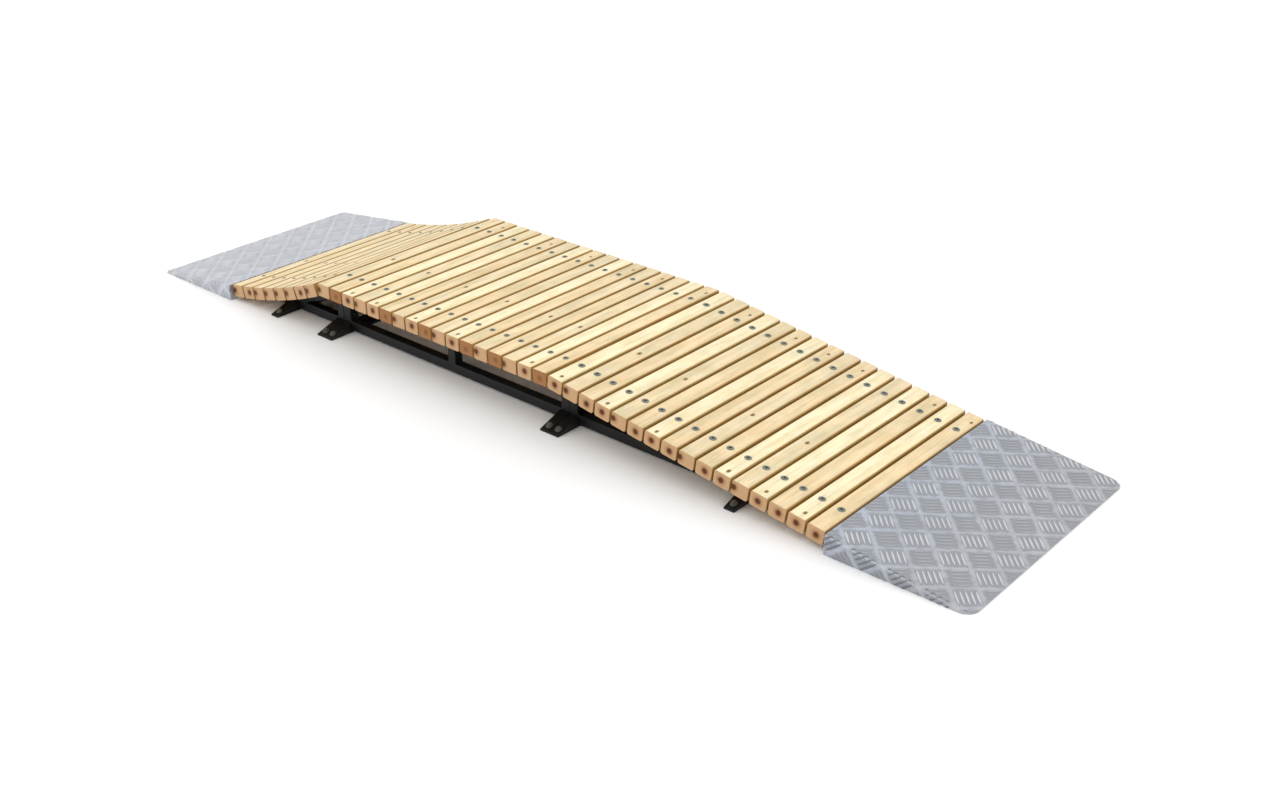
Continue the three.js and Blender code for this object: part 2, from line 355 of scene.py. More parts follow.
def pine_material(colours, length):
    """Planed pine: growth rings round a heart line, fine fibres, sawn ends and small knots."""
    material, g, shader = principled("planed_pine", 0.62, Specular_IOR_Level=0.25)
    timber = across, along, depth = g.split(g.attribute("timber", 1))
    heart = g.split(g.attribute("heart", 1))
    spot = g.split(g.attribute("knot", 1))
    seed = heart[2]

    radius = heart_distance(g, timber, heart)
    rings = g.math("SINE", g.math("MULTIPLY", radius, 2 * math.pi / RING_SPACING))
    rings = g.ramp(rings, -0.2, 1.0)
    fibre = grain(g, timber, seed, 330.0, 5.0, 3.0, 0.6)
    face = planed_face(g, timber, seed, fibre, rings, g.attribute("tone", 0))
    face = with_knot(g, face, timber, spot, fibre, tuple(colours.knot))

    # Painted shade: the sides, down in the gaps, are tinted browner and darker than the top.
    side = g.math("MAXIMUM", g.ramp(g.math("ABSOLUTE", across), 0.0265, 0.0335),
                  g.ramp(depth, -0.0012, -0.006))
    face = g.mix(side, face, g.mix(1.0, face, tuple(colours.painted_gap_shade), "MULTIPLY"))

    end = g.math("GREATER_THAN", g.math("ABSOLUTE", along), length / 2 - END_DEPTH)
    ends = sawn_end(g, radius, rings, fibre, g.attribute("red", 2), colours)
    g.tree.links.new(g.mix(end, face, ends), shader.inputs["Base Color"])
    g.tree.links.new(g.ramp(fibre, 0.2, 0.8, 0.55, 0.72), shader.inputs["Roughness"])
    bump(g, shader, g.math("ADD", fibre, g.math("MULTIPLY", rings, 0.5)), 0.25, 0.0006)
    return material


# Values of the "raised" attribute on a sheet; on the bars it is their painted light,
# from 0 for painted shade to 1 for a painted highlight.
OUTER_FACE, HOLLOW_FACE = -1.0, -2.0


def tread_material(colours, cell):
    """Mill-finish aluminium: bright between bar groups, painted shade and highlight on the bars."""
    material, g, shader = principled("tread_metal", 0.42, 0.75)
    place = g.add("ShaderNodeTexCoord", out=3)
    # The pattern's cells are diamonds on the unfolded sheet, one for each group of bars.
    v, u, runup_sheen_mask = g.split(g.attribute("flat", 1))
    raised = g.attribute("raised", 2)
    cloud = g.noise(place, 9.0, 4.0, 0.6)
    smear = g.noise(place, 34.0, 3.0, 0.6)
    fine = g.noise(place, 240.0, 3.0, 0.6)
    wobble = g.ramp(smear, 0.25, 0.75, -0.075, 0.075)
    reach = []
    for sign in (1.0, -1.0):
        turned = g.math("MULTIPLY", g.math("MULTIPLY_ADD", u, sign, v), 1 / cell)
        turned = g.math("FRACT", g.math("ADD", turned, 0.5))
        reach.append(g.math("ABSOLUTE", g.math("SUBTRACT", turned, 0.5)))
    flat = g.ramp(g.math("ADD", g.math("MAXIMUM", *reach), wobble), 0.52, 0.34)
    dull = g.math("MULTIPLY", flat, g.ramp(cloud, 0.2, 0.8, 0.7, 1.0))
    on_face = g.math("GREATER_THAN", raised, (OUTER_FACE + HOLLOW_FACE) / 2)
    dull = g.math("MULTIPLY", dull, on_face)
    clean = g.mix(g.ramp(v, 0.12, 0.5), tuple(colours.tread_metal), tuple(colours.tread_blue))
    sheet = g.mix(dull, clean, tuple(colours.tread_grime))
    # Painted shade at each bar's foot and a painted highlight on its crown.
    bar = g.mix(g.ramp(raised, 0.05, 0.75), tuple(colours.bar_foot_shade), tuple(colours.bar_crown_highlight))
    on_bar = g.math("GREATER_THAN", raised, OUTER_FACE / 2)
    tone = g.mix(on_bar, sheet, bar)
    # Painted sheen lightens the run-up plate, seen at a grazing angle.
    tone = g.mix(g.math("MULTIPLY", runup_sheen_mask, 0.35), tone, tuple(colours.fresh_tread))
    shade = g.math("ADD", g.ramp(cloud, 0.3, 0.7, 0.95, 1.05), g.ramp(fine, 0.3, 0.7, -0.05, 0.05))
    g.tree.links.new(g.mix(1.0, tone, g.combine(shade, shade, shade), "MULTIPLY"),
                     shader.inputs["Base Color"])
    g.tree.links.new(g.ramp(fine, 0.3, 0.7, 0.34, 0.5), shader.inputs["Roughness"])
    bump(g, shader, fine, 0.15, 0.0004)
    return material


def paint_material(colours):
    """Black paint with a faint orange peel and a faint cloudy mottling."""
    material, g, shader = principled("frame_paint", 0.48, Specular_IOR_Level=0.32)
    place = g.add("ShaderNodeTexCoord", out=3)
    cloud = g.noise(place, 14.0, 4.0, 0.6)
    fine = g.noise(place, 420.0, 2.0, 0.5)
    shade = g.ramp(cloud, 0.3, 0.7, 0.85, 1.2)
    base = g.mix(1.0, tuple(colours.frame_paint), g.combine(shade, shade, shade), "MULTIPLY")
    g.tree.links.new(base, shader.inputs["Base Color"])
    g.tree.links.new(g.ramp(cloud, 0.3, 0.7, 0.36, 0.5), shader.inputs["Roughness"])
    bump(g, shader, fine, 0.15, 0.0004)
    return material


def zinc_material(colours):
    """Zinc-plated steel for screws and bolts, with painted shade in a screw's socket."""
    material, g, shader = principled("zinc", 0.38, 0.8)
    place = g.add("ShaderNodeTexCoord", out=3)
    spots = g.noise(place, 160.0, 3.0, 0.6)
    shade = g.ramp(spots, 0.3, 0.7, 0.8, 1.15)
    base = g.mix(1.0, tuple(colours.zinc), g.combine(shade, shade, shade), "MULTIPLY")
    # Painted shade in the socket, darkened towards the frame's black.
    socket_shade_mask = g.math("MULTIPLY", g.attribute("socket", 2), 0.62)
    base = g.mix(socket_shade_mask, base, tuple(colours.frame_paint))
    g.tree.links.new(base, shader.inputs["Base Color"])
    g.tree.links.new(g.ramp(spots, 0.3, 0.7, 0.3, 0.5), shader.inputs["Roughness"])
    return material


def finish_named(name, make):
    """The finish of that name, made on its first use."""
    return bpy.data.materials.get(name) or make()


# ---- the deck ----
class Run:
    """One run of battens: its order, and the line that their tops follow."""

    def __init__(self, name, order, start, angle, bend, offset, pitch, screw_scale, edge_scale):
        self.name, self.order, self.start = name, order, start
        self.angle, self.bend, self.offset, self.pitch = angle, bend, offset, pitch
        self.screw_scale, self.edge_scale = screw_scale, edge_scale

    @property
    def nodes(self):
        return [f"{self.name}_batten_{i + 1:02d}" for i in range(len(self.order))]


def deck_runs():
    """The three runs: curved take-off, flat table and straight landing."""
    chord = math.atan2(DECK_Z - ARC_START[1], LIP_X - ARC_START[0])
    leave = 2 * chord - ARC_ENTRY
    radius = (LIP_X - ARC_START[0]) / (math.sin(leave) - math.sin(ARC_ENTRY))
    fall = DECK_Z - OUT_JOINT[1]
    length = math.hypot(OUT_JOINT[0] - CREST_X, fall)
    slope = -math.atan2(fall, OUT_JOINT[0] - CREST_X)
    return (
        Run("takeoff", TAKEOFF_ORDER, ARC_START, ARC_ENTRY, 1 / radius, TAKEOFF_OFFSET, PITCH,
            screw_scale=0.6, edge_scale=0.6),
        Run("table", TABLE_ORDER, (LIP_X, DECK_Z), 0.0, 0.0, 0.0, PITCH,
            screw_scale=0.85, edge_scale=0.7),
        Run("landing", LANDING_ORDER, (CREST_X, DECK_Z), slope, 0.0, LANDING_OFFSET,
            (length - LANDING_OFFSET) / len(LANDING_ORDER), screw_scale=1.0, edge_scale=1.0),
    )


def along_run(recipe, run):
    """Places and turns for a run's points: the place on the line and the turn about Y."""
    start = recipe.input("Start", (run.start[0], 0.0, run.start[1]))
    angle = recipe.input("Entry angle", run.angle)
    bend = recipe.input("Bend", run.bend)
    offset = recipe.input("Offset", run.offset)
    pitch = recipe.input("Pitch", run.pitch)
    index = recipe.add("GeometryNodeInputIndex")
    step = recipe.math("ADD", index, 0.5)
    s = recipe.math("MULTIPLY_ADD", step, pitch, offset)
    half = recipe.math("MULTIPLY", recipe.math("MULTIPLY", s, bend), 0.5)
    squared = recipe.math("MULTIPLY", half, half)
    chord = recipe.math("MULTIPLY", s, recipe.math("MULTIPLY_ADD", squared, -1 / 6, 1.0))
    lean = recipe.math("ADD", angle, half)
    reach = recipe.combine(recipe.math("MULTIPLY", chord, recipe.math("COSINE", lean)), 0.0,
                           recipe.math("MULTIPLY", chord, recipe.math("SINE", lean)))
    place = recipe.add("ShaderNodeVectorMath", (start, reach), operation="ADD")
    turn = recipe.math("MULTIPLY", recipe.math("MULTIPLY_ADD", s, bend, angle), -1.0)
    return place, recipe.combine(0.0, turn, 0.0)


def batten_recipe(run, sizes, material):
    """Rounded battens set along a run."""
    r = Recipe(run.name + "_battens")
    place, turn = along_run(r, run)
    length = r.input("Length", sizes.batten_length)
    width = r.input("Width", sizes.batten_width)
    thickness = r.input("Thickness", sizes.batten_thickness)
    edge = r.input("Edge", sizes.batten_edge * run.edge_scale)
    outline = r.add("GeometryNodeCurvePrimitiveQuadrilateral", {"Width": width, "Height": thickness})
    outline = r.add("GeometryNodeFilletCurve", {"Curve": outline, "Count": 4, "Radius": edge},
                    mode="POLY")
    bevel = r.input("End bevel", sizes.end_bevel)
    half = r.math("SUBTRACT", r.math("MULTIPLY", length, 0.5), bevel)
    line = r.add("GeometryNodeCurvePrimitiveLine", {
        "Start": r.combine(0.0, r.math("MULTIPLY", half, -1.0), 0.0),
        "End": r.combine(0.0, half, 0.0)})
    solid = r.add("GeometryNodeCurveToMesh", {
        "Curve": line, "Profile Curve": outline, "Fill Caps": True})
    facing = r.math("ABSOLUTE", r.split(r.add("GeometryNodeInputNormal"))[1])
    caps = r.add("GeometryNodeExtrudeMesh", {
        "Mesh": solid, "Selection": r.math("GREATER_THAN", facing, 0.9),
        "Offset Scale": bevel}).node
    narrow = r.math("SUBTRACT", 1.0, r.math("DIVIDE", r.math("MULTIPLY", bevel, 2.0), width))
    solid = r.add("GeometryNodeScaleElements", {
        "Geometry": caps.outputs[0], "Selection": caps.outputs[1], "Scale": narrow})
    sunk = r.add("GeometryNodeTransform", {
        "Geometry": solid,
        "Translation": r.combine(0.0, 0.0, r.math("MULTIPLY", thickness, -0.5))})
    grown = r.add("GeometryNodeStoreNamedAttribute", {
        "Geometry": sunk, "Name": "timber", "Value": r.add("GeometryNodeInputPosition")},
        data_type="FLOAT_VECTOR", domain="POINT")
    moved = r.add("GeometryNodeSetPosition", {"Geometry": r.entry.outputs[0], "Position": place})
    row = r.add("GeometryNodeInstanceOnPoints", {
        "Points": moved, "Instance": grown, "Rotation": turn})
    r.finish(row, material)
    return r


# For each kind: knot (across, along, size), heart (across, depth).
KINDS = {
    "P": {"tone": "pale_pine", "knot": (0.004, -0.470, 0.0078), "heart": (0.0, -0.026)},
    "G": {"tone": "grey_pine", "knot": (0.002, -0.130, 0.0088), "heart": (-0.024, -0.024)},
    "T": {"tone": "tan_pine", "knot": (0.010, 0.435, 0.0072), "heart": (0.004, -0.028)},
}


def batten_points(run, colours):
    """One point for each batten, carrying what its wood looks like."""
    count = len(run.order)
    mesh = bpy.data.meshes.new(run.name + "_points")
    mesh.from_pydata([(0.0, 0.0, 0.0)] * count, [], [])
    looks = {"tone": "FLOAT_COLOR", "knot": "FLOAT_VECTOR", "heart": "FLOAT_VECTOR",
             "red": "FLOAT"}
    for name, kind in looks.items():
        mesh.attributes.new(name, kind, "POINT")
    tone, knot, heart, red = (mesh.attributes[name] for name in looks)
    for i, letter in enumerate(run.order):
        kind = KINDS[letter]
        swing = math.sin(12.9 * i + 3.1 * len(run.name))
        base = getattr(colours, kind["tone"])
        tone.data[i].color = [c * (1 + 0.012 * swing) for c in base[:3]] + [1.0]
        x, y, size = kind["knot"]
        knot.data[i].vector = (x + 0.004 * swing, y + 0.006 * swing, size)
        heart.data[i].vector = (*kind["heart"], 10.0 * i + 3.7 * len(run.name))
        red.data[i].value = 1.0 if letter == "T" and run.name == "table" else 0.0
    return mesh


class RAMP_OT_battens(bpy.types.Operator):
    """Make the three runs of battens"""
    bl_idname = "ramp.battens"
    bl_label = "Battens"

    def execute(self, context):
        sizes, colours = context.scene.ramp_sizes, context.scene.ramp_colours
        wood = finish_named("planed_pine", lambda: pine_material(colours, sizes.batten_length))
        for run in deck_runs():
            recipe = batten_recipe(run, sizes, wood)
            mesh = turned_out(recipe.bake(run.name, batten_points(run, colours)))
            piece(run.name + "_battens", smooth(mesh, 40), run.nodes)
        return {"FINISHED"}


# A screw's head, as multiples of how far it stands up and, for the two widths, of the width that
# each is cut from.
DRUM_DEPTH, CROWN_RISE, SOCKET_DEPTH = 3.0, 0.45, 0.8
CROWN_WIDTH, SOCKET_WIDTH = 0.72, 0.55


def screw_recipe(run, sizes, material):
    """Low round screw heads with a hexagon socket, in two rows along a run."""
    r = Recipe(run.name + "_screws")
    place, turn = along_run(r, run)
    row = r.input("Row", sizes.screw_row)
    radius = r.input("Head radius", sizes.screw_radius * run.screw_scale)
    height = r.input("Head height", sizes.screw_height)
    drum = r.add("GeometryNodeMeshCylinder", {
        "Vertices": 18, "Radius": radius,
        "Depth": r.math("MULTIPLY", height, DRUM_DEPTH)}, fill_type="NGON")
    top = r.math("GREATER_THAN", r.split(r.add("GeometryNodeInputNormal"))[2], 0.9)
    dome = r.add("GeometryNodeExtrudeMesh", {
        "Mesh": drum, "Selection": top,
        "Offset Scale": r.math("MULTIPLY", height, CROWN_RISE)}).node
    crown = r.add("GeometryNodeScaleElements", {
        "Geometry": dome.outputs[0], "Selection": dome.outputs[1], "Scale": CROWN_WIDTH})
    rim = r.add("GeometryNodeExtrudeMesh", {
        "Mesh": crown, "Selection": dome.outputs[1], "Offset Scale": 0.0}).node
    mouth = r.add("GeometryNodeScaleElements", {
        "Geometry": rim.outputs[0], "Selection": rim.outputs[1], "Scale": SOCKET_WIDTH})
    socket = r.add("GeometryNodeExtrudeMesh", {
        "Mesh": mouth, "Selection": rim.outputs[1],
        "Offset Scale": r.math("MULTIPLY", height, -SOCKET_DEPTH)}).node
    # Marks the socket's faces for the painted shade in the zinc finish.
    socket_shade_mask = r.math("MAXIMUM", socket.outputs[1], socket.outputs[2])
    marked = r.add("GeometryNodeStoreNamedAttribute", {
        "Geometry": socket.outputs[0], "Name": "socket", "Value": socket_shade_mask},
        data_type="FLOAT", domain="FACE")
    seat = 1.0 - DRUM_DEPTH / 2 - CROWN_RISE
    seated = r.add("GeometryNodeTransform", {
        "Geometry": marked, "Translation": r.combine(0.0, 0.0, r.math("MULTIPLY", height, seat))})
    moved = r.add("GeometryNodeSetPosition", {"Geometry": r.entry.outputs[0], "Position": place})
    rows = []
    for side in (-1.0, 1.0):
        shifted = r.add("GeometryNodeSetPosition", {
            "Geometry": moved, "Offset": r.combine(0.0, r.math("MULTIPLY", row, side), 0.0)})
        rows.append(r.add("GeometryNodeInstanceOnPoints", {
            "Points": shifted, "Instance": seated, "Rotation": turn}))
    both = r.tree.nodes.new("GeometryNodeJoinGeometry")
    for one in rows:
        r.tree.links.new(one, both.inputs[0])
    r.finish(both.outputs[0], material)
    return r


class RAMP_OT_deck_screws(bpy.types.Operator):
    """Make the deck screws, one over each side frame on every batten"""
    bl_idname = "ramp.deck_screws"
    bl_label = "Deck Screws"

    def execute(self, context):
        sizes, colours = context.scene.ramp_sizes, context.scene.ramp_colours
        zinc = finish_named("zinc", lambda: zinc_material(colours))
        for run in deck_runs():
            points = bpy.data.meshes.new(run.name + "_screw_points")
            points.from_pydata([(0.0, 0.0, 0.0)] * len(run.order), [], [])
            mesh = turned_out(screw_recipe(run, sizes, zinc).bake(run.name + "_screws", points))
            piece(run.name + "_screws", smooth(mesh, 35))
        return {"FINISHED"}


# ---- tread plates ----
# Where the tread pattern starts on the unfolded sheet: up the slope, and across.
TREAD_SHIFT = (-0.012, 0.020)
# Painted light at the foot and on the crown of a bar, from 0 for painted shade to 1 for a
# painted highlight, for the two groups of bars: first on the top, then on the skirts.
TOP_BAR_LIGHT = ((0.26, 0.44), (0.0, 1.0))
SKIRT_BAR_LIGHT = ((0.0, 0.14), (0.1, 0.35))


class Plate:
    """One folded plate. Flat coordinates are v, up the slope from the tip, and u, across."""

    def __init__(self, name, tip, joint, height, corner, sizes):
        self.name, self.tip, self.joint, self.height = name, tip, joint, height
        self.corner, self.sizes = corner, sizes
        self.side = 1.0 if tip > joint else -1.0
        self.run = abs(tip - joint)
        self.slope = math.atan2(height - sizes.sheet, self.run)
        self.length = self.run / math.cos(self.slope)

    def unfolded(self, point):
        """Pattern coordinates of a point on the sheet's outer face, and whether it's the run-up."""
        r = self.sizes.fold_radius
        flat = self.sizes.plate_half - r
        sin, cos = math.sin(self.slope), math.cos(self.slope)
        d, rise = self.side * (self.tip - point.x), point.z - self.sizes.sheet
        v, drop = d * cos + rise * sin, d * sin - rise * cos
        past = abs(point.y) - flat
        if past <= 0:
            u = abs(point.y)
        elif drop < r:
            u = flat + r * math.atan2(past, r - drop)
        else:
            u = flat + r * math.pi / 2 + drop - r
        # The third value marks the run-up plate for its painted sheen.
        runup_sheen_mask = 1.0 if self.side < 0 else 0.0
        return v - TREAD_SHIFT[0], math.copysign(u, point.y) - TREAD_SHIFT[1], runup_sheen_mask

    def hollow_side(self, point):
        """Whether a vertex of the sheet is on its inner face."""
        inner = self.sizes.sheet / 2
        below = self.top(self.side * (self.tip - point.x)) - point.z > inner
        return below and abs(point.y) < self.sizes.plate_half - inner

    def half(self, distance):
        """Half width in plan, that far from the tip."""
        r = self.corner
        back = max(r - distance, 0.0)
        return self.sizes.plate_half - r + math.sqrt(max(r * r - back * back, 0.0))

    def top(self, distance):
        return self.sizes.sheet + distance * math.tan(self.slope)

    def folded(self, v, u, h):
        """The point in the row frame that lies h above the sheet at flat (v, u)."""
        r = self.sizes.fold_radius
        flat = self.sizes.plate_half - r
        past = abs(u) - flat
        quarter = r * math.pi / 2
        if past < 0:
            y, drop = abs(u), -h
        elif past < quarter:
            turn = past / r
            y, drop = flat + (r + h) * math.sin(turn), r - (r + h) * math.cos(turn)
        else:
            y, drop = flat + r + h, r + past - quarter
        sin, cos = math.sin(self.slope), math.cos(self.slope)
        x = self.tip - self.side * (v * cos + drop * sin)
        z = self.sizes.sheet + v * sin - drop * cos
        return Vector((x, math.copysign(y, u), z))


# Stations along a plate, from its tip, that are close enough to follow the rounded corners.
TIP_STATIONS = (0.0, 0.0012, 0.004, 0.008, 0.014, 0.022, 0.032, 0.045)
FOLD_STEPS = 6                   # faces round the fold along a skirt
LEAST_FOLD = 0.0015
TIP_SOLID = 0.030                # the hollow starts this far from the tip


def loft(plate, inset, first, last, floor):
    """A closed solid under the plate's top, inset by a sheet thickness, between two stations."""
    sizes = plate.sizes
    stations = [first] + [d for d in TIP_STATIONS if d > first] + [last]
    bm = bmesh.new()
    rings = []
    for d in stations:
        half = plate.half(d) - inset
        top = plate.top(d) - inset / math.cos(plate.slope)
        radius = min(max(sizes.fold_radius - inset, LEAST_FOLD), 0.75 * max(top, 0.002))
        turns = [k / FOLD_STEPS * math.pi / 2 for k in range(FOLD_STEPS + 1)]
        ring = []
        for side in (-1, 1):
            corner = [(side * (half - radius + radius * math.cos(a)),
                       top - radius + radius * math.sin(a)) for a in turns[::-side]]
            foot = [(side * half, floor)]
            ring += foot + corner if side < 0 else corner + foot
        x = plate.tip - plate.side * d
        rings.append([bm.verts.new((x, y, z)) for y, z in ring])
    for a, b in zip(rings, rings[1:]):
        for i in range(len(a)):
            j = (i + 1) % len(a)
            bm.faces.new((a[i], a[j], b[j], b[i]))
    bm.faces.new(rings[0])
    bm.faces.new(rings[-1])
    bmesh.ops.recalc_face_normals(bm, faces=bm.faces)
    mesh = bpy.data.meshes.new(plate.name + "_solid")
    bm.to_mesh(mesh)
    bm.free()
    return mesh


def sheet_mesh(plate):
    """The folded sheet: top, skirts and end flange, hollow underneath."""
    sizes = plate.sizes
    outer = bpy.data.objects.new("outer", loft(plate, 0.0, 0.0, plate.run, 0.0))
    inner = bpy.data.objects.new(
        "inner", loft(plate, sizes.sheet, TIP_SOLID, plate.run - sizes.sheet, -0.01))
    for thing in (outer, inner):
        bpy.context.scene.collection.objects.link(thing)
    cut = outer.modifiers.new("hollow", "BOOLEAN")
    cut.object, cut.operation, cut.solver = inner, "DIFFERENCE", "EXACT"
    graph = bpy.context.evaluated_depsgraph_get()
    mesh = bpy.data.meshes.new_from_object(outer.evaluated_get(graph), depsgraph=graph)
    bpy.data.objects.remove(outer)
    bpy.data.objects.remove(inner)
    return mesh


def tread_recipe(plate, material):
    """Groups of five raised bars in a checkerboard turned 45 degrees, on the unfolded sheet."""
    sizes = plate.sizes
    r = Recipe(plate.name + "_tread")
    cell = r.input("Cell", sizes.tread_cell)
    length = r.input("Bar length", sizes.bar_length)
    width = r.input("Bar width", sizes.bar_width)
    height = r.input("Bar height", sizes.bar_height)
    spacing = r.input("Bar spacing", sizes.bar_spacing)
    bars = r.input("Bars", 5)
    along = r.input("Cells along", math.ceil(plate.length / sizes.tread_cell) + 2)
    across = r.input("Cells across", 2 * math.ceil(0.6 / sizes.tread_cell) + 1)
    ball = r.add("GeometryNodeMeshUVSphere", {"Segments": 8, "Rings": 8, "Radius": 1.0})
    bar = r.add("GeometryNodeTransform", {
        "Geometry": ball, "Rotation": (0.0, math.pi / 2, 0.0),
        "Scale": r.combine(height, r.math("MULTIPLY", width, 0.5),
                           r.math("MULTIPLY", length, 0.5))})
    ladder = r.add("GeometryNodeMeshLine", {
        "Count": bars, "Offset": r.combine(0.0, spacing, 0.0)})
    reach = r.math("MULTIPLY", r.math("SUBTRACT", bars, 1.0), spacing)
    ladder = r.add("GeometryNodeTransform", {
        "Geometry": ladder, "Translation": r.combine(0.0, r.math("MULTIPLY", reach, -0.5), 0.0)})
    group = r.add("GeometryNodeRealizeInstances", (
        r.add("GeometryNodeInstanceOnPoints", {"Points": ladder, "Instance": bar}),))
    both = r.tree.nodes.new("GeometryNodeJoinGeometry")
    for turn, shift in ((-math.pi / 4, 0.0), (math.pi / 4, 0.5)):
        span = [r.math("MULTIPLY", r.math("SUBTRACT", n, 1.0), cell) for n in (along, across)]
        grid = r.add("GeometryNodeMeshGrid", {
            "Size X": span[0], "Size Y": span[1], "Vertices X": along, "Vertices Y": across})
        offset = r.math("MULTIPLY", cell, shift)
        grid = r.add("GeometryNodeTransform", {
            "Geometry": grid,
            "Translation": r.combine(r.math("ADD", r.math("MULTIPLY_ADD", span[0], 0.5, offset),
                                            TREAD_SHIFT[0]),
                                     r.math("ADD", offset, TREAD_SHIFT[1]), 0.0)})
        placed = r.add("GeometryNodeInstanceOnPoints", {
            "Points": grid, "Instance": group, "Rotation": (0.0, 0.0, turn)})
        r.tree.links.new(placed, both.inputs[0])
    r.finish(both.outputs[0], material)
    return r


def trimmed(mesh, planes):
    """A copy of mesh's solids as a bmesh, cut by planes given as (point, outward normal)."""
    bm = bmesh.new()
    bm.from_mesh(mesh)
    for point, normal in planes:
        geometry = bm.verts[:] + bm.edges[:] + bm.faces[:]
        cut = bmesh.ops.bisect_plane(
            bm, geom=geometry, dist=1e-7, plane_co=point, plane_no=normal, clear_outer=True)
        edges = [e for e in cut["geom_cut"] if isinstance(e, bmesh.types.BMEdge)]
        bmesh.ops.holes_fill(bm, edges=edges, sides=0)
    return bm


def painted_bar_light(place, sizes, groups):
    """Painted light of a vertex of the bars, given flat, from its group's levels at foot and crown.
    """
    v, u = (place[i] - TREAD_SHIFT[i] for i in (0, 1))
    steps = [math.floor((v + sign * u) / sizes.tread_cell + 0.5) for sign in (1, -1)]
    foot, crown = groups[sum(steps) % 2]
    return foot + (crown - foot) * max(place.z, 0.0) / sizes.bar_height


def tread_mesh(plate, material):
    """The tread bars, trimmed to the sheet's outline and folded down over its skirts.

    Also returns each vertex's painted light, from 0 for painted shade to 1 for a painted highlight.
    """
    sizes = plate.sizes
    flat = tread_recipe(plate, material).bake(plate.name + "_tread")
    edge = sizes.plate_half - sizes.fold_radius
    margin, r = 0.003, plate.corner
    rows = []
    top = [((margin, 0, 0), (-1, 0, 0)), ((plate.length - margin, 0, 0), (1, 0, 0))]
    for side in (-1, 1):
        top.append(((0, side * edge, 0), (0, side, 0)))
        for k in range(1, FOLD_STEPS):
            a = k / FOLD_STEPS * math.pi / 2
            out = Vector((-math.cos(a), side * math.sin(a), 0))
            centre = Vector((r, side * (sizes.plate_half - r), 0))
            top.append((centre + out * (r - margin), out))
    rows.append(trimmed(flat, top))
    # On a skirt, the sheet ends where it meets the ground.
    quarter = sizes.fold_radius * math.pi / 2
    sin, cos = math.sin(plate.slope), math.cos(plate.slope)
    for side in (-1, 1):
        low = edge + quarter - sizes.fold_radius + (sizes.sheet - 0.0012) / cos
        rows.append(trimmed(flat, [
            ((0, side * edge, 0), (0, -side, 0)),
            ((r + 0.006, 0, 0), (-1, 0, 0)),
            ((plate.length - margin, 0, 0), (1, 0, 0)),
            ((0, side * low, 0), (-sin / cos, side, 0)),
        ]))
    total = bmesh.new()
    # Painted light of each bar vertex: shade at the foot, highlight on the crown.
    worn = []
    for groups, bm in zip((TOP_BAR_LIGHT, SKIRT_BAR_LIGHT, SKIRT_BAR_LIGHT), rows):
        worn += [painted_bar_light(vert.co, sizes, groups) for vert in bm.verts]
        for vert in bm.verts:
            vert.co = plate.folded(*vert.co)
        part = bpy.data.meshes.new("part")
        bm.to_mesh(part)
        bm.free()
        total.from_mesh(part)
        bpy.data.meshes.remove(part)
    bmesh.ops.recalc_face_normals(total, faces=total.faces)
    mesh = bpy.data.meshes.new(plate.name + "_bars")
    total.to_mesh(mesh)
    total.free()
    return mesh, worn


def plate_mesh(plate, material):
    """Sheet and bars as one mesh, with the attributes that its finish reads."""
    sheet, (bars, worn) = sheet_mesh(plate), tread_mesh(plate, material)
    raised = [HOLLOW_FACE if plate.hollow_side(vert.co) else OUTER_FACE
              for vert in sheet.vertices] + worn
    total = bmesh.new()
    for mesh in (sheet, bars):
        total.from_mesh(mesh)
    mesh = bpy.data.meshes.new(plate.name + "_sheet")
    total.to_mesh(mesh)
    total.free()
    for key, kind in (("flat", "FLOAT_VECTOR"), ("raised", "FLOAT")):
        mesh.attributes.new(key, kind, "POINT")
    places = [c for vert in mesh.vertices for c in plate.unfolded(vert.co)]
    mesh.attributes["flat"].data.foreach_set("vector", places)
    mesh.attributes["raised"].data.foreach_set("value", raised)
    return mesh


class RAMP_OT_tread_plates(bpy.types.Operator):
    """Make the two folded tread plates"""
    bl_idname = "ramp.tread_plates"
    bl_label = "Tread Plates"

    def execute(self, context):
        sizes, colours = context.scene.ramp_sizes, context.scene.ramp_colours
        metal = finish_named("tread_metal", lambda: tread_material(colours, sizes.tread_cell))
        for name, tip_side, corner in (
                ("runup", -1, sizes.runup_corner), ("runout", 1, sizes.runout_corner)):
            node = name + "_plate"
            low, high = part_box(node)
            tip, joint = (low[0], high[0]) if tip_side < 0 else (high[0], low[0])
            plate = Plate(name, tip, joint, high[2], corner, sizes)
            mesh = dress(plate_mesh(plate, metal), metal)
            piece(name + "_sheet", smooth(mesh, 40), [node])
        return {"FINISHED"}


# ---- steel ----
FOOT_EDGE = 0.0012               # bevel round a foot's edges


def steel_copy(node):
    """A CAD node's mesh with its loose triangles merged into flat faces."""
    bm = bmesh.new()
    bm.from_mesh(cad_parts[node].data)
    bmesh.ops.remove_doubles(bm, verts=bm.verts, dist=1e-5)
    bmesh.ops.dissolve_limit(
        bm, angle_limit=math.radians(1), verts=bm.verts, edges=bm.edges)
    mesh = bpy.data.meshes.new(node)
    bm.to_mesh(mesh)
    bm.free()
    return mesh


class RAMP_OT_frames(bpy.types.Operator):
    """Make the side frames, the cross tube and the feet"""
    bl_idname = "ramp.frames"
    bl_label = "Frames and Feet"

    def execute(self, context):
        sizes, colours = context.scene.ramp_sizes, context.scene.ramp_colours
        paint = finish_named("frame_paint", lambda: paint_material(colours))
        for node in sorted(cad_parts):
            if "frame" not in node and "foot" not in node and "tube" not in node:
                continue
            mesh = steel_copy(node)
            thing = piece(node + "_steel", dress(mesh, paint), [node])
            bevel = thing.modifiers.new("edges", "BEVEL")
            bevel.width = FOOT_EDGE if "foot" in node else sizes.tube_edge
            bevel.segments = 2
            bevel.limit_method, bevel.angle_limit = "ANGLE", math.radians(30)
            mesh.polygons.foreach_set("use_smooth", [False] * len(mesh.polygons))
        return {"FINISHED"}


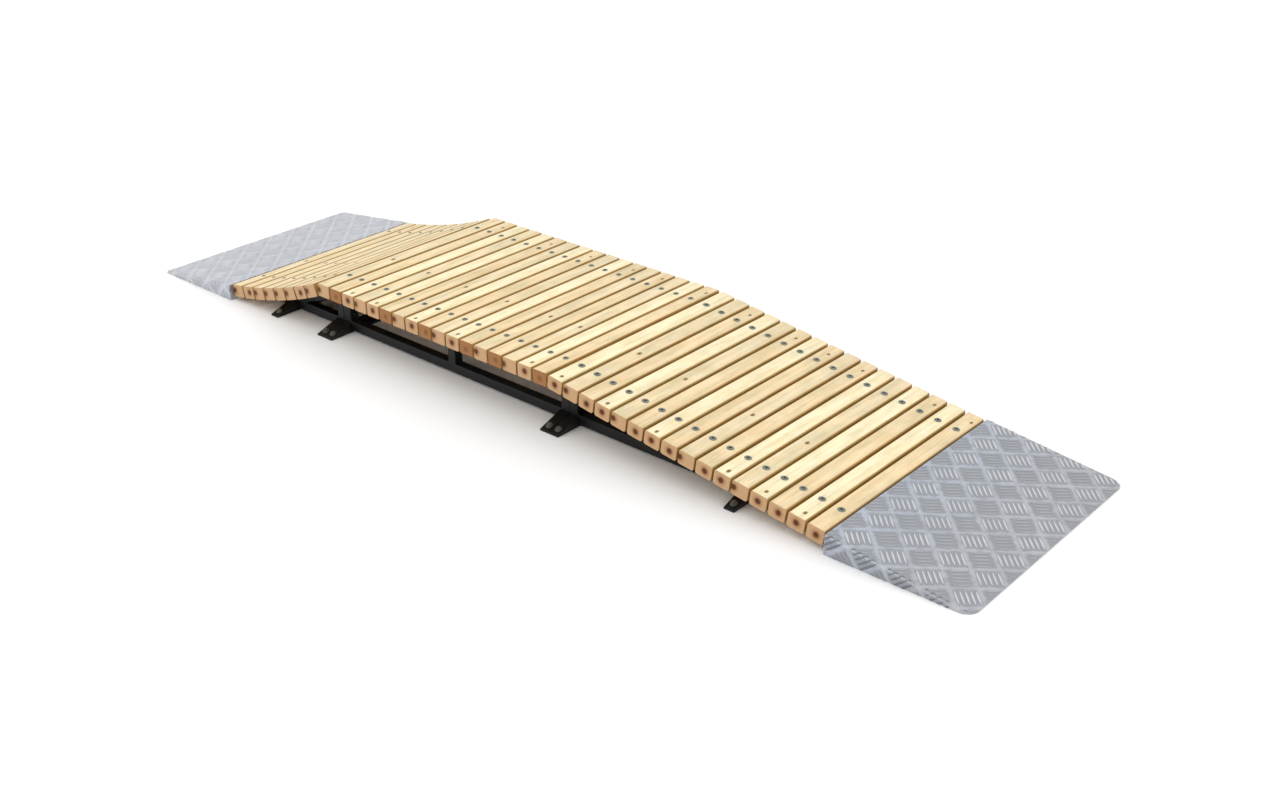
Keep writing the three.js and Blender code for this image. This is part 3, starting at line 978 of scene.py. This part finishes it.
# ---- bolts ----
# Ground bolts near the foot tips, and bolts along X through the posts at each module joint.
WEDGE_FEET = ("foot_takeoff_middle", "foot_takeoff_joint", "foot_table_start", "foot_table_end",
              "foot_landing_joint", "foot_landing_middle")
GROUND_BOLT_Y = 0.472
GROUND_BOLT_Z = 0.0155           # top of the wedge there
WEDGE_RISE, WEDGE_RUN = 0.038, 0.1117
JOINT_BOLT_Y = 0.368
JOINT_BOLT_Z = (0.078, 0.122)
POST = 0.040                     # thickness of the post that a joint bolt passes through


def bolt_recipe(name, sizes, material):
    """A hexagon head on a washer at each point, turned the way that the point says."""
    r = Recipe(name)
    head = r.input("Head radius", sizes.bolt_head)
    height = r.math("MULTIPLY", head, 0.75)
    thin = r.math("MULTIPLY", head, 0.22)
    hexagon = r.add("GeometryNodeMeshCylinder", {
        "Vertices": 6, "Radius": head, "Depth": height}, fill_type="NGON")
    hexagon = r.add("GeometryNodeTransform", {
        "Geometry": hexagon,
        "Translation": r.combine(0.0, 0.0, r.math("MULTIPLY_ADD", height, 0.5, thin))})
    washer = r.add("GeometryNodeMeshCylinder", {
        "Vertices": 28, "Radius": r.math("MULTIPLY", head, 1.45),
        "Depth": r.math("MULTIPLY", thin, 2.0)}, fill_type="NGON")
    both = r.tree.nodes.new("GeometryNodeJoinGeometry")
    for one in (hexagon, washer):
        r.tree.links.new(one, both.inputs[0])
    turn = r.add("GeometryNodeInputNamedAttribute", {"Name": "turn"}, data_type="FLOAT_VECTOR")
    placed = r.add("GeometryNodeInstanceOnPoints", {
        "Points": r.entry.outputs[0], "Instance": both.outputs[0], "Rotation": turn})
    r.finish(placed, material)
    return r


def ground_bolts():
    """Place and turn of every ground bolt's head, square to the slope of its wedge."""
    tilt = math.atan2(WEDGE_RISE, WEDGE_RUN)
    for node in WEDGE_FEET:
        low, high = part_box(node)
        for side in (-1, 1):
            place = ((low[0] + high[0]) / 2, side * GROUND_BOLT_Y, GROUND_BOLT_Z)
            yield place, (-side * tilt, 0.0, 0.0)


def joint_bolts():
    """Place and turn of the heads and nuts that hold the modules together."""
    for left, right in (("takeoff", "table"), ("table", "landing")):
        ends = (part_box(left + "_frame_right")[1][0] - POST,
                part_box(right + "_frame_right")[0][0] + POST)
        for side in (-1, 1):
            for z in JOINT_BOLT_Z:
                yield (ends[0], side * JOINT_BOLT_Y, z), (0.0, -math.pi / 2, 0.0)
                yield (ends[1], side * JOINT_BOLT_Y, z), (0.0, math.pi / 2, 0.0)


class RAMP_OT_bolts(bpy.types.Operator):
    """Make the ground bolts and the bolts that join the modules"""
    bl_idname = "ramp.bolts"
    bl_label = "Bolts"

    def execute(self, context):
        sizes, colours = context.scene.ramp_sizes, context.scene.ramp_colours
        paint = finish_named("frame_paint", lambda: paint_material(colours))
        zinc = finish_named("zinc", lambda: zinc_material(colours))
        for name, finish, found in (
                ("ground_bolts", zinc, ground_bolts()), ("joint_bolts", paint, joint_bolts())):
            places = list(found)
            points = bpy.data.meshes.new(name + "_points")
            points.from_pydata([place for place, _turn in places], [], [])
            turns = points.attributes.new("turn", "FLOAT_VECTOR", "POINT")
            turns.data.foreach_set("vector", [c for _place, turn in places for c in turn])
            mesh = turned_out(bolt_recipe(name, sizes, finish).bake(name, points))
            piece(name, smooth(mesh, 30))
        return {"FINISHED"}


# ---- stage ----
FLOOR_REACH, FLOOR_Z = 40.0, -0.0006
SKY_STRENGTH = 1.07
LIGHT_SIZE = 5.0
LIGHTS = (("key", (-2.5, -3.0, 6.0), 50.0), ("fill", (4.5, 3.0, 5.0), 15.0))
CAMERA_PLACE = (3.74984, -3.94564, 2.61639)
CAMERA_TURN = (62.9072, 0.1625, 40.8206)      # degrees


class RAMP_OT_stage(bpy.types.Operator):
    """Make the floor, the lights and the camera"""
    bl_idname = "ramp.stage"
    bl_label = "Stage"

    def execute(self, context):
        scene, colours = context.scene, context.scene.ramp_colours
        mesh = bpy.data.meshes.new("floor")
        corners = ((-1, -1), (1, -1), (1, 1), (-1, 1))
        mesh.from_pydata([(x * FLOOR_REACH, y * FLOOR_REACH, FLOOR_Z) for x, y in corners],
                         [], [(0, 1, 2, 3)])
        floor = bpy.data.objects.new("floor", mesh)
        scene.collection.objects.link(floor)
        material, _graph, shader = principled("floor", 0.9)
        shader.inputs["Base Color"].default_value = tuple(colours.floor)
        mesh.materials.append(material)

        world = bpy.data.worlds.new("studio")
        scene.world = world
        world.use_nodes = True
        sky = world.node_tree.nodes["Background"]
        sky.inputs["Color"].default_value = (1, 1, 1, 1)
        sky.inputs["Strength"].default_value = SKY_STRENGTH
        for name, place, power in LIGHTS:
            data = bpy.data.lights.new(name, "AREA")
            data.shape, data.size, data.energy = "SQUARE", LIGHT_SIZE, power
            lamp = bpy.data.objects.new(name, data)
            lamp.location = place
            lamp.rotation_euler = (-Vector(place)).to_track_quat("-Z", "Y").to_euler()
            scene.collection.objects.link(lamp)

        data = bpy.data.cameras.new("camera")
        data.sensor_width, data.lens = 36.0, 42.67
        camera = bpy.data.objects.new("camera", data)
        camera.location = CAMERA_PLACE
        camera.rotation_euler = Euler([math.radians(a) for a in CAMERA_TURN])
        scene.collection.objects.link(camera)
        scene.camera = camera
        scene.view_settings.view_transform = "Standard"
        return {"FINISHED"}


class RAMP_PT_panel(bpy.types.Panel):
    """The ramp's parts and settings"""
    bl_label = "Table Jump Ramp"
    bl_idname = "RAMP_PT_panel"
    bl_space_type = "VIEW_3D"
    bl_region_type = "UI"
    bl_category = "Ramp"

    def draw(self, context):
        for operator in OPERATORS:
            self.layout.operator(operator.bl_idname)
        for group in (context.scene.ramp_sizes, context.scene.ramp_colours):
            box = self.layout.box()
            for name in group.__annotations__:
                box.prop(group, name)


OPERATORS = (RAMP_OT_battens, RAMP_OT_deck_screws, RAMP_OT_tread_plates, RAMP_OT_frames,
             RAMP_OT_bolts, RAMP_OT_stage)
CLASSES = (RampSizes, RampColours, *OPERATORS, RAMP_PT_panel)


def register():
    for cls in CLASSES:
        bpy.utils.register_class(cls)
    bpy.types.Scene.ramp_sizes = bpy.props.PointerProperty(type=RampSizes)
    bpy.types.Scene.ramp_colours = bpy.props.PointerProperty(type=RampColours)


def unregister():
    del bpy.types.Scene.ramp_colours
    del bpy.types.Scene.ramp_sizes
    for cls in reversed(CLASSES):
        bpy.utils.unregister_class(cls)


def main():
    register()
    bpy.ops.ramp.battens()
    bpy.ops.ramp.deck_screws()
    bpy.ops.ramp.tread_plates()
    bpy.ops.ramp.frames()
    bpy.ops.ramp.bolts()
    bpy.ops.ramp.stage()


if __name__ == "__main__":
    main()
